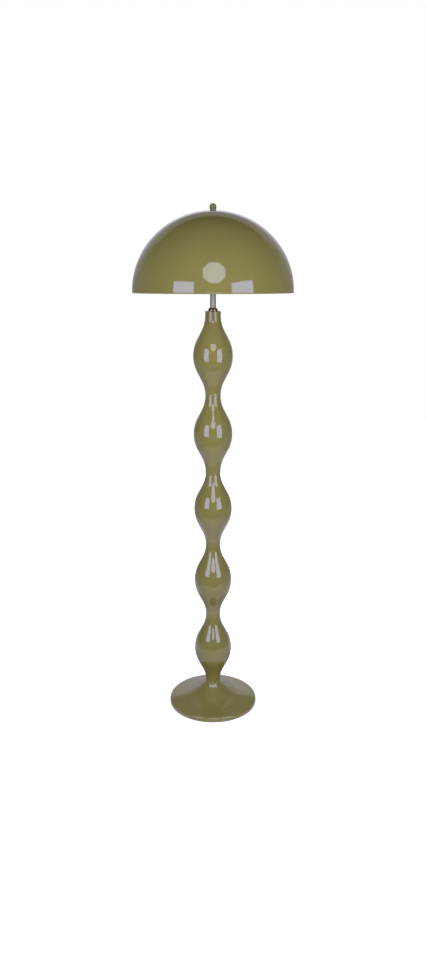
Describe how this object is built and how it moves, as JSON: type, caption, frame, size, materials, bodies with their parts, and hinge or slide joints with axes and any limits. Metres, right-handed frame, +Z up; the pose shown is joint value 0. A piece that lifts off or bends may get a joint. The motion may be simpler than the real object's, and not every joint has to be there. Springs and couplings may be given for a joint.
{
  "type": "floor lamp",
  "caption": "Floor lamp with a column of stacked turned bobbins on a flared round foot, and a dome shade held on a harp above a plated stem by a ball finial.",
  "frame": {"origin": "on the floor, under the centre of the foot", "axes": "+Z up along the column; -Y towards the front, the side of the switch knob; +Y towards the back, the side of the cord inlet; +X to the right seen from the front"},
  "size_m": [0.4499, 0.45, 1.4996],
  "materials": {
    "olive_enamel": "gloss",
    "nickel_plate": "polished",
    "zinc_steel": "satin",
    "cast_iron": "matte",
    "felt": "matte",
    "black_rubber": "matte",
    "black_phenolic": "satin",
    "white_terminal": "matte",
    "flex_sheath": "satin",
    "brass": "satin",
    "fibre_liner": "matte",
    "opal_glass": "satin"
  },
  "bodies": {
    "stand": {"felt_pad": "felt", "base_plate": "zinc_steel", "base_plate_screws": "zinc_steel", "base_weight": "cast_iron", "base_shell": "olive_enamel", "cord_gland": "black_rubber", "terminal_block": "white_terminal", "inner_flex": "flex_sheath", "tie_tube": "zinc_steel", "tie_washer": "zinc_steel", "tie_nut": "zinc_steel", "bobbin_1": "olive_enamel", "bobbin_2": "olive_enamel", "bobbin_3": "olive_enamel", "bobbin_4": "olive_enamel", "bobbin_5": "olive_enamel", "stem_ferrule": "nickel_plate", "stem_tube": "nickel_plate", "harp_saddle": "nickel_plate", "saddle_nut": "zinc_steel", "harp_loop": "nickel_plate", "holder_cap": "brass", "holder_shell": "brass", "holder_body": "black_phenolic", "holder_liner": "fibre_liner", "screw_shell": "brass", "center_contact": "brass"},
    "shade": {"swivel_stud": "brass", "shade_washer": "nickel_plate", "shade_dome": "olive_enamel"},
    "finial": {"finial_collar": "olive_enamel", "finial_ball": "olive_enamel"},
    "switch": {"switch_shaft": "brass", "switch_knob": "black_phenolic"},
    "bulb_foot": {"bulb_contact": "brass"},
    "bulb": {"bulb_insulator": "black_phenolic", "bulb_cap": "nickel_plate", "bulb_glass": "opal_glass"},
    "sleeve_left": {"harp_sleeve_left": "nickel_plate"},
    "sleeve_right": {"harp_sleeve_right": "nickel_plate"}
  },
  "joints": [
    {"name": "shade_swivel", "type": "hinge", "parent": "stand", "child": "shade", "pos_m": [0, 0, 1.475], "axis": [0, 0, 1], "continuous": true},
    {"name": "finial_turn", "type": "hinge", "parent": "shade", "child": "finial", "pos_m": [0, 0, 1.4898], "axis": [0, 0, 1], "range_deg": [0, 2880]},
    {"name": "knob_turn", "type": "hinge", "parent": "stand", "child": "switch", "pos_m": [0, -0.032, 1.3305], "axis": [0, -1, 0], "continuous": true},
    {"name": "bulb_rise", "type": "slide", "parent": "stand", "child": "bulb_foot", "axis": [0, 0, 1], "range_m": [0, 0.0146]},
    {"name": "bulb_turn", "type": "hinge", "parent": "bulb_foot", "child": "bulb", "pos_m": [0, 0, 1.4147], "axis": [0, 0, 1], "range_deg": [0, 1440]},
    {"name": "sleeve_left_slide", "type": "slide", "parent": "stand", "child": "sleeve_left", "axis": [0, 0, 1], "range_m": [0, 0.012]},
    {"name": "sleeve_right_slide", "type": "slide", "parent": "stand", "child": "sleeve_right", "axis": [0, 0, 1], "range_m": [0, 0.012]}
  ],
  "couplings": [
    {"joint": "bulb_rise", "follows": "bulb_turn", "m_per_rad": 0.00057751}
  ]
}
